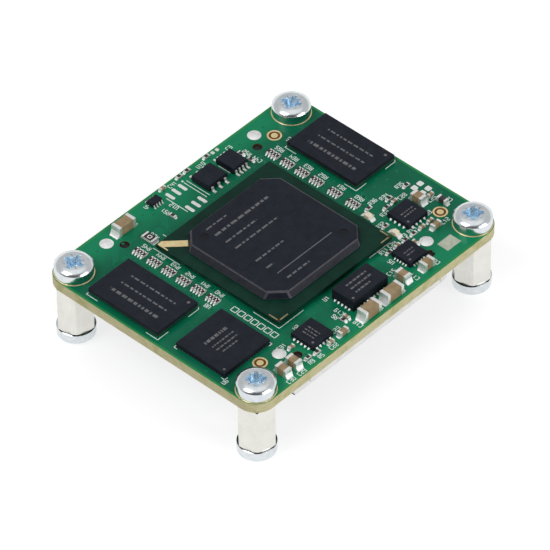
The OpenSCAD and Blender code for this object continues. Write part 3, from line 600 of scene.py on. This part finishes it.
def solder_ends(terminals, bodies, reach, climb, spread_out=0.03 * mm):
    """Fillets on all the terminals of a node, each away from the body that it belongs to."""
    parts = solids(bodies)
    for low, high in solids(terminals):
        centre = (low + high) / 2
        owner = min(parts, key=lambda box: ((box[0] + box[1]) / 2 - centre).length)
        offset = centre - (owner[0] + owner[1]) / 2
        half = (owner[1] - owner[0]) / 2
        share = [abs(offset[i]) / half[i] for i in (0, 1)]
        axis = 0 if share[0] > share[1] else 1
        if share[axis] > end_share:
            fillet(low, high, axis, math.copysign(1, offset[axis]), reach, climb, spread_out)


solder_ends("large_capacitor_terminals", "large_capacitor_bodies", 0.55 * mm, 0.8 * mm)
solder_ends("medium_capacitor_terminals", "medium_capacitor_bodies", 0.42 * mm, 0.6 * mm)
solder_ends("small_capacitor_terminals", "small_capacitor_bodies", 0.32 * mm, 0.42 * mm)
solder_ends("tiny_capacitor_terminals", "tiny_capacitor_bodies", 0.22 * mm, 0.3 * mm)
solder_ends("resistor_terminals", "resistor_bodies", 0.24 * mm, 0.26 * mm)
solder_ends("jumper_resistor_terminals", "jumper_resistor_body", 0.28 * mm, 0.3 * mm)
solder_ends("ferrite_bead_terminals", "ferrite_bead_body", 0.32 * mm, 0.45 * mm)
solder_ends("diode_terminals", "diode_lenses", 0.32 * mm, 0.2 * mm)
solder_ends("left_array_terminals", "left_array_bodies", 0.36 * mm, 0.28 * mm, 0.02 * mm)
solder_ends("right_array_terminals", "right_array_bodies", 0.36 * mm, 0.28 * mm, 0.02 * mm)
for chip in ("power_module", "supply_chip", "clock_chip", "monitor_chip"):
    solder_ends(chip + "_pads", chip + "_body", 0.3 * mm, 0.2 * mm, 0.01 * mm)
fillets.piece("solder_fillets", solder, "solder", angle=40)


# Logic chip: a green laminate substrate on a grid of solder balls, under a moulded black cap.
# The cap has leaning flanks and cut corners, and gold shows at the gate and the other corners.
balls = coat("solder_balls", (0.62, 0.62, 0.61), (0.80, 0.80, 0.78), 0.3 * mm,
             rough=(0.3, 0.45), grain=0.05 * mm, depth=0.003 * mm, metallic=1.0)
substrate = coat("chip_substrate", (0.003, 0.025, 0.016), (0.005, 0.037, 0.024), 2 * mm,
                 rough=(0.28, 0.4), grain=0.1 * mm, depth=0.002 * mm, specular=0.1)
mould = coat("chip_mould", (0.007, 0.009, 0.016), (0.012, 0.015, 0.024), 1.2 * mm,
             rough=(0.48, 0.62), grain=0.05 * mm, depth=0.006 * mm, specular=0.16)
dressed_copy("logic_chip_balls", [balls])
dressed_copy("logic_chip_substrate", [substrate], edge=0.05 * mm)
# A lighter grey for the rounded rim along the long top edges: a painted highlight along the rim.
painted_rim_highlight = coat("mould_painted_rim_highlight", (0.036, 0.036, 0.046), (0.068, 0.068, 0.083), 0.6 * mm,
              rough=(0.4, 0.55), grain=0.06 * mm, depth=0.002 * mm)
# A lighter copy of the black mould for the four leaning flanks: painted light on the sides.
painted_flank_light = coat("mould_flank_painted_light", (0.018, 0.019, 0.027), (0.028, 0.029, 0.038), 0.8 * mm,
             rough=(0.45, 0.6), grain=0.05 * mm, depth=0.005 * mm, specular=0.2)
pressed = coat("pressed_mould", (0.002, 0.002, 0.004), (0.005, 0.006, 0.009), 0.5 * mm,
               rough=(0.3, 0.5), grain=0.2 * mm, depth=0.01 * mm, specular=0.2)
cap = dressed_copy("logic_chip_cap", [mould, painted_rim_highlight, painted_flank_light, pressed])
cap_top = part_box("logic_chip_cap")[1].z
press_least = 0.02 * mm
nearly = 0.9
cut_lean = 0.2


def is_flank(face):
    """True on the four leaning sides, not on the top or the cut corners."""
    return abs(face.normal.z) < nearly and min(abs(face.normal.x), abs(face.normal.y)) < cut_lean


def is_pressed(face):
    """True on the floors of the marks that the ejector pins leave in the top."""
    return face.normal.z > nearly and face.center.z < cap_top - press_least


# Painted light: the flanks get the lighter copy of the mould.
paint_faces(cap, 2, is_flank)
paint_faces(cap, 3, is_pressed)
rim_least = 1 * mm
rim_w = 0.2 * mm
rim_angle = math.radians(20)
shape = bmesh.new()
shape.from_mesh(cap.data)
weight = shape.edges.layers.float.new("bevel_weight_edge")
for edge in shape.edges:
    if edge.calc_length() > rim_least and edge.calc_face_angle(0) > rim_angle:
        edge[weight] = 1.0
shape.to_mesh(cap.data)
shape.free()
# The rim's bevel faces get the lighter grey: a painted highlight along the top edges.
rim = cap.modifiers.new("painted_highlight_rim", "BEVEL")
rim.limit_method = "WEIGHT"
rim.width = rim_w
rim.segments = 3
rim.harden_normals = True
rim.material = 1
dull_gold = coat("dull_gold", (0.28, 0.24, 0.12), (0.45, 0.40, 0.24), 0.4 * mm,
                 rough=(0.42, 0.58), grain=0.05 * mm, depth=0.002 * mm, metallic=0.8)
marks = dressed_copy("logic_chip_gold_marks", [gold, dull_gold], edge=0.015 * mm)
paint_faces(marks, 1, lambda face: face.center.y < 0)

# Dark discs at the front corners of the substrate stand for the pin holes: painted shade in the holes.
pin_hole_shade_discs = Sheet()
hole_in, hole_r = 0.34 * mm, 0.22 * mm
hole_proud = 0.004 * mm
hole_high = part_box("logic_chip_gold_marks")[1].z + hole_proud
for x in (chip_low.x + hole_in, chip_high.x - hole_in):
    pin_hole_shade_discs.disc((x, chip_low.y + hole_in), hole_r, chip_high.z - sunk, hole_high)
pin_hole_shade_discs.piece("substrate_pin_holes_painted_shade", painted_hole_shade, "chip_substrate")

laser_grey = coat("laser_mark", (0.10, 0.10, 0.11), (0.17, 0.17, 0.18), 0.3 * mm,
                  rough=(0.7, 0.9), grain=0.04 * mm, depth=0.004 * mm)
laser = Sheet()
laser_t = 0.004 * mm
dash_shares = (0.45, 0.7, 1.0)


def dashes(x, y, length, height, turn, level, dash=0.9, gap=0.28):
    """A plain row of short laser strokes, from a point in millimetres along a turn in degrees."""
    along = Vector((math.cos(math.radians(turn)), math.sin(math.radians(turn))))
    start = Vector((x, y))
    done = 0.0
    while done < length:
        run = min(chance.choice(dash_shares) * dash, length - done)
        a = (start + along * done) * mm
        b = (start + along * (done + run)) * mm
        laser.bar(a, b, height * mm, level - laser_t, level + laser_t)
        done += run + gap


cap_rows = [(-5.4, 7.7, 4.0, 0.26), (-5.4, 6.0, 10.6, 0.42), (-5.4, 4.0, 6.2, 0.3), (-5.4, 2.2, 8.6, 0.3),
            (-5.4, -1.6, 5.8, 0.3), (-5.4, -3.6, 1.4, 0.3), (-4.9, -7.0, 4.4, 0.3)]
for x, y, length, height in cap_rows:
    dashes(x, y, length, height, 0, cap_top, dash=1.1)
rule_left = (-5.2 * mm, -5.4 * mm)
rule_right = (5.8 * mm, -5.4 * mm)
rule_w = 0.16 * mm
laser.bar(rule_left, rule_right, rule_w, cap_top - laser_t, cap_top + laser_t)


# Memory chips: two flat moulded blocks on a thin base, soldered on balls beside the logic chip.
# Each has rows of laser strokes and a round mark at its first ball.
memory_base = coat("memory_base", (0.008, 0.028, 0.014), (0.013, 0.045, 0.024), 0.8 * mm,
                   rough=(0.4, 0.6), grain=0.08 * mm, depth=0.003 * mm)
memory_rows = [(2.1, 8.8, 0.5), (3.9, 8.6, 0.28), (5.7, 8.4, 0.28)]
row_start = 2.0
ball_mark_in, ball_mark_r = 0.9 * mm, 0.24 * mm
for side in ("left", "right"):
    dressed_copy("memory_" + side + "_mould", [mould], edge=0.04 * mm)
    dressed_copy("memory_" + side + "_base", [memory_base], edge=0.02 * mm)
    dressed_copy("memory_" + side + "_balls", [balls])
    low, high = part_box("memory_" + side + "_mould")
    for column, length, height in memory_rows:
        dashes(low.x / mm + column, low.y / mm + row_start, length, height, upright, high.z, dash=0.8)
    ball_mark = (high.x - ball_mark_in, low.y + ball_mark_in)
    laser.disc(ball_mark, ball_mark_r, high.z - laser_t, high.z + laser_t)


# Flat chips: square moulded blocks that end flush with the rows of pads along their edges.
# They are the network chip, the power module, the supply and clock chips and the monitor.
tinned = coat("tinned_metal", (0.75, 0.75, 0.74), (0.89, 0.89, 0.87), 0.4 * mm,
              rough=(0.3, 0.48), grain=0.06 * mm, depth=0.003 * mm, metallic=0.75)
dull_tin = coat("dull_tin", (0.06, 0.06, 0.06), (0.16, 0.15, 0.14), 0.3 * mm,
                rough=(0.45, 0.6), grain=0.06 * mm, depth=0.002 * mm, metallic=0.7)
flat_chips = {
    "network_chip": [(2.4, 5.9, 4.4, 0.5, 0), (2.6, 4.7, 4.2, 0.24, 0), (2.6, 3.9, 4.2, 0.24, 0),
                     (3.0, 3.1, 3.0, 0.24, 0)],
    "power_module": [(1.7, 2.9, 4.0, 0.3, 0), (1.7, 2.0, 4.0, 0.3, 0), (1.7, 1.1, 3.0, 0.3, 0)],
    "supply_chip": [(1.3, 1.0, 2.2, 0.2, upright), (1.9, 1.0, 2.2, 0.2, upright),
                    (2.5, 1.0, 2.2, 0.2, upright)],
    "clock_chip": [(0.9, 2.2, 2.4, 0.22, 0), (0.9, 1.6, 2.4, 0.22, 0)],
    "monitor_chip": [(0.9, 2.0, 1.8, 0.2, 0), (0.9, 1.4, 1.5, 0.2, 0)]}
pad_mark_in, pad_mark_r = 0.6 * mm, 0.2 * mm
for chip, rows in flat_chips.items():
    dressed_copy(chip + "_body", [mould], edge=0.04 * mm)
    dressed_copy(chip + "_pads", [dull_tin if chip == "network_chip" else tinned])
    low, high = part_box(chip + "_body")
    for x, y, length, height, turn in rows:
        dashes(low.x / mm + x, low.y / mm + y, length, height, turn, high.z, dash=0.6, gap=0.18)
    pad_mark = (low.x + pad_mark_in, low.y + pad_mark_in)
    laser.disc(pad_mark, pad_mark_r, high.z - laser_t, high.z + laser_t)


# Leaded chips: moulded blocks with bent legs along two sides, soldered by their feet.
# Two are beside the rear edge, and the third is the tiny one near the corner capacitor.
for chip in ("six_lead_chip", "eight_lead_chip", "tiny_chip"):
    dressed_copy(chip + "_body", [mould], edge=0.03 * mm)
    dressed_copy(chip + "_leads", [tinned], edge=0.02 * mm)
laser.piece("laser_marks", laser_grey, "chip_mould")


# Resistors: a film under dark glaze on a block of white ceramic, with tinned ends.
# Arrays of four stand in a column on each side of the logic chip.
# The single resistors and the larger jumper are made alike.
glaze = coat("resistor_glaze", (0.020, 0.012, 0.013), (0.045, 0.026, 0.026), 0.3 * mm,
             rough=(0.28, 0.45), grain=0.05 * mm, depth=0.003 * mm)
alumina = coat("white_ceramic", (0.58, 0.56, 0.52), (0.72, 0.70, 0.66), 0.3 * mm,
               rough=(0.5, 0.7), grain=0.05 * mm, depth=0.004 * mm)
for part in ("left_array_bodies", "right_array_bodies", "resistor_bodies", "jumper_resistor_body"):
    chips = dressed_copy(part, [glaze, alumina], edge=0.02 * mm)
    paint_faces(chips, 1, lambda face: face.normal.z < steep)
for part in ("left_array", "right_array", "resistor", "jumper_resistor"):
    dressed_copy(part + "_terminals", [tinned], edge=0.02 * mm)

film_marks = Sheet()
film_t = 0.006 * mm
mark_half = 0.2 * mm
mark_w = 0.12 * mm
marks_each = 3
for part in ("left_array_bodies", "right_array_bodies"):
    for low, high in solids(part):
        middle = (low.x + high.x) / 2
        for i in range(marks_each):
            y = low.y + (high.y - low.y) * (i + 1) / (marks_each + 1)
            left, right = (middle - mark_half, y), (middle + mark_half, y)
            film_marks.bar(left, right, mark_w, high.z - film_t, high.z + film_t)
low, high = solids("jumper_resistor_body")[0]
x, y = (low.x + high.x) / 2, (low.y + high.y) / 2
ring = 0.26 * mm
for a, b in (((-1, -1), (1, -1)), ((1, -1), (1, 1)), ((1, 1), (-1, 1)), ((-1, 1), (-1, -1))):
    film_marks.bar((x + a[0] * ring, y + a[1] * ring), (x + b[0] * ring, y + b[1] * ring), mark_w,
                   high.z - film_t, high.z + film_t)
film_marks.piece("resistor_marks", legend_ink)


# Capacitors: stacks of ceramic and metal layers fired into brown blocks, with tinned metal ends.
# The large ones smooth the supplies, and the smallest are also under the board below the logic chip.
ceramic = coat("capacitor_ceramic", (0.25, 0.175, 0.09), (0.37, 0.27, 0.155), 0.7 * mm,
               rough=(0.36, 0.5), grain=0.05 * mm, depth=0.004 * mm)
for size in ("large", "medium", "small", "tiny"):
    dressed_copy(size + "_capacitor_bodies", [ceramic], edge=0.03 * mm)
    dressed_copy(size + "_capacitor_terminals", [tinned], edge=0.03 * mm)


# Ferrite bead and diodes: a dark grey ferrite block, and two light-emitting diodes.
# A diode has a cream resin lens over its base, between two gold-flashed terminals.
ferrite = coat("ferrite", (0.025, 0.024, 0.026), (0.05, 0.047, 0.05), 0.2 * mm,
               rough=(0.4, 0.6), grain=0.05 * mm, depth=0.004 * mm)
lens = coat("diode_lens", (0.74, 0.64, 0.42), (0.86, 0.80, 0.64), 0.4 * mm,
            rough=(0.2, 0.32), grain=0.08 * mm, depth=0.002 * mm, specular=0.5)
dressed_copy("ferrite_bead_body", [ferrite], edge=0.03 * mm)
dressed_copy("ferrite_bead_terminals", [tinned], edge=0.03 * mm)
dressed_copy("diode_lenses", [lens], edge=0.04 * mm)
dressed_copy("diode_terminals", [tinned], edge=0.02 * mm)


# Board connectors: two long sockets under the board, each a black housing inside a bent metal shield.
# The contacts are stamped in two rows, gold on their blades, and soldered by their tails.
plastic = coat("connector_plastic", (0.018, 0.018, 0.020), (0.030, 0.030, 0.032), 1.5 * mm,
               rough=(0.42, 0.58), grain=0.06 * mm, depth=0.004 * mm)
shield = coat("connector_shield", (0.66, 0.66, 0.65), (0.78, 0.78, 0.76), 1.2 * mm,
              rough=(0.22, 0.36), grain=0.08 * mm, depth=0.002 * mm, metallic=1.0)
contact_gold = coat("contact_gold", (0.76, 0.52, 0.20), (0.88, 0.68, 0.34), 0.5 * mm,
                    rough=(0.2, 0.34), grain=0.05 * mm, depth=0.001 * mm, metallic=1.0)
skin = 0.02 * mm
for row in ("front", "rear"):
    housing = dressed_copy("connector_" + row + "_housing", [plastic, shield],
                           edge=0.06 * mm)
    low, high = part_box("connector_" + row + "_housing")

    def is_lip(face):
        """True on the long outer sides of the flange, which the shield's lip covers."""
        return abs(face.normal.y) > nearly and not low.y + skin < face.center.y < high.y - skin

    paint_faces(housing, 1, is_lip)
    dressed_copy("connector_" + row + "_shield", [shield], edge=0.03 * mm)
    dressed_copy("connector_" + row + "_contacts", [contact_gold])


# Spacers: hexagonal brass bars, drilled and tapped through, turned flat at both ends and nickel plated.
# They stand under the four corners, between the board and the heads of the lower screws.
nickel = finish("spacer_nickel", (0.74, 0.73, 0.68), 0.22, metallic=1.0)
drawn = mottle(nickel, 0.12 * mm, stretch=(1, 1, 30))
clouded = spread(nickel, mottle(nickel, 2 * mm))
drive(nickel, "Base Color", blend(nickel, clouded, (0.72, 0.71, 0.66), (0.79, 0.78, 0.74)))
drive(nickel, "Roughness", spread(nickel, drawn, to_low=0.2, to_high=0.3))
relief(nickel, drawn, 0.001 * mm)
# Near black for the turned chamfers at both ends of the spacers: painted shade in the joints with the
# board and the screw heads.
painted_joint_shade = coat("spacer_painted_joint_shade", (0.02, 0.02, 0.02), (0.08, 0.08, 0.075), 0.5 * mm,
             rough=(0.3, 0.5), grain=0.08 * mm, depth=0.002 * mm, metallic=0.9)
turned_from, turned_to = 0.3, 0.95
posts = dressed_copy("spacers", [nickel, painted_joint_shade], edge=0.04 * mm)
# Painted shade: the chamfers get the near-black material.
paint_faces(posts, 1, lambda face: turned_from < abs(face.normal.z) < turned_to)


# Screws: steel pan heads with a cross recess, cold formed, zinc plated and passivated in a bluish bath.
# Four hold the board down on the spacers, and four stick out below to fasten the module.
zinc = coat("screw_zinc", (0.64, 0.69, 0.72), (0.75, 0.78, 0.80), 0.7 * mm,
            rough=(0.14, 0.24), grain=0.14 * mm, depth=0.006 * mm, metallic=1.0)
head_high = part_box("upper_screws")[1]
head_r = 2.8 * mm
dome_rise = 0.25 * mm
spot = add(zinc, "ShaderNodeSeparateXYZ", Vector=place(zinc))
squares = []
for i in (0, 1):
    from_middle = sum_of(zinc, "ABSOLUTE", spot.outputs[i], 0)
    from_axis = sum_of(zinc, "SUBTRACT", from_middle, head_high[i] - head_r)
    squares.append(sum_of(zinc, "MULTIPLY", from_axis, from_axis))
fall = sum_of(zinc, "DIVIDE", sum_of(zinc, "ADD", *squares), -head_r * head_r)
relief(zinc, fall, dome_rise)
blue_zinc = coat("recess_zinc", (0.26, 0.50, 0.72), (0.78, 0.90, 0.97), 0.4 * mm,
                 rough=(0.2, 0.34), grain=0.12 * mm, depth=0.005 * mm, metallic=0.62)
recess_r = 1.8 * mm
recess_from, recess_to = 0.02 * mm, 1.5 * mm
for node, crown, inwards in (("upper_screws", head_high.z, -1), ("lower_screws", 0.0, 1)):
    screws = dressed_copy(node, [zinc, blue_zinc], edge=0.03 * mm)
    axes = [((low.x + high.x) / 2, (low.y + high.y) / 2) for low, high in solids(node)]

    def in_recess(face):
        """True on the walls and floor of a cross recess."""
        depth = (face.center.z - crown) * inwards
        near = min(math.hypot(face.center.x - x, face.center.y - y) for x, y in axes)
        return recess_from < depth < recess_to and near < recess_r

    paint_faces(screws, 1, in_recess)


# Studio: a wide pale floor, a white surround, and soft lamps in front and above at a plain level.
# The floor shows white to the camera and in polished metal, and keeps the shadow of the part.
floor_half = 3.0
floor_mesh = bpy.data.meshes.new("floor")
floor_drop = 0.02 * mm
floor_sides = ((-1, -1), (1, -1), (1, 1), (-1, 1))
floor_corners = [(x * floor_half, y * floor_half, -floor_drop) for x, y in floor_sides]
floor_mesh.from_pydata(floor_corners, [], [(0, 1, 2, 3)])
floor = bpy.data.objects.new("floor", floor_mesh)
bpy.context.scene.collection.objects.link(floor)
floor_paint = finish("floor_paint", (0.38, 0.38, 0.38), 0.9, specular=0.0)
floor_glow = 0.74
seen = add(floor_paint, "ShaderNodeLightPath")
seen_by = sum_of(floor_paint, "MAXIMUM", seen.outputs["Is Camera Ray"], seen.outputs["Is Glossy Ray"])
seen_by = sum_of(floor_paint, "MAXIMUM", seen_by, seen.outputs["Is Transmission Ray"])
floor_paint.node_tree.nodes["Principled BSDF"].inputs["Emission Color"].default_value = (1, 1, 1, 1)
drive(floor_paint, "Emission Strength", sum_of(floor_paint, "MULTIPLY", seen_by, floor_glow))
floor_mesh.materials.append(floor_paint)

room_light = 0.5
back_wall = 0.62
dark_corner = 0.5
wall_foot, wall_full = 0.12, 0.3
ceiling_start, ceiling_full = 0.78, 0.9
corner_start, corner_full = 0.3, 0.7
world = bpy.data.worlds.new("surround")
bpy.context.scene.world = world
world.use_nodes = True
surround = world.node_tree.nodes["Background"]
surround.inputs["Color"].default_value = (1, 1, 1, 1)
way = add(world, "ShaderNodeTexCoord").outputs["Generated"]
aim = add(world, "ShaderNodeSeparateXYZ", Vector=way)
above = spread(world, aim.outputs[2], wall_foot, wall_full)
overhead = spread(world, aim.outputs[2], ceiling_start, ceiling_full)
wall = sum_of(world, "SUBTRACT", above, overhead)
front_left = sum_of(world, "MULTIPLY", sum_of(world, "ADD", aim.outputs[0], aim.outputs[1]), -1.0)
corner = sum_of(world, "MULTIPLY", wall, spread(world, front_left, corner_start, corner_full))
tone = sum_of(world, "SUBTRACT", 1.0, sum_of(world, "MULTIPLY", wall, 1 - back_wall))
tone = sum_of(world, "SUBTRACT", tone, sum_of(world, "MULTIPLY", corner, dark_corner))
path = add(world, "ShaderNodeLightPath")
looked_at = sum_of(world, "MAXIMUM", path.outputs["Is Camera Ray"], path.outputs["Is Glossy Ray"])
looked_at = sum_of(world, "MAXIMUM", looked_at, path.outputs["Is Transmission Ray"])
beyond_room = sum_of(world, "SUBTRACT", tone, room_light)
strength = sum_of(world, "ADD", room_light, sum_of(world, "MULTIPLY", looked_at, beyond_room))
world.node_tree.links.new(strength, surround.inputs["Strength"])


def lamp(name, place_at, size, power):
    """A square soft lamp that looks at the middle of the board."""
    light = bpy.data.lights.new(name, "AREA")
    light.size = size
    light.energy = power
    made = bpy.data.objects.new(name, light)
    made.location = place_at
    made.rotation_mode = "QUATERNION"
    made.rotation_quaternion = (Vector((0, 0, top)) - made.location).to_track_quat("-Z", "Y")
    bpy.context.scene.collection.objects.link(made)


lamp("key_lamp", Vector((-0.55, 0.15, 0.75)), size=0.5, power=2.9)
lamp("fill_lamp", Vector((0.2, -1.2, 0.48)), size=0.9, power=7.6)


# Camera: a long lens that looks down on the front left corner of the board, as in the photograph.
# Its pose was found from the corners of the board, the holes and the screws.
azimuth = math.radians(-46.873)
elevation = math.radians(43.560)
roll = math.radians(-0.659)
distance = 864.52 * mm
target = Vector((-3.993 * mm, -3.832 * mm, top))
focal_px = 6315.6
frame_px = 550
level = math.cos(elevation)
back = Vector((math.sin(azimuth) * level, -math.cos(azimuth) * level, math.sin(elevation)))
camera = bpy.data.cameras.new("camera")
camera.sensor_width = 36
camera.lens = camera.sensor_width * focal_px / frame_px
camera.clip_start = 0.01
camera.clip_end = 20
viewer = bpy.data.objects.new("camera", camera)
viewer.location = target + back * distance
viewer.rotation_mode = "QUATERNION"
viewer.rotation_quaternion = (-back).to_track_quat("-Z", "Y")
viewer.rotation_quaternion.rotate(Quaternion(back, roll))
bpy.context.scene.collection.objects.link(viewer)
bpy.context.scene.camera = viewer
bpy.context.scene.view_settings.view_transform = "Standard"
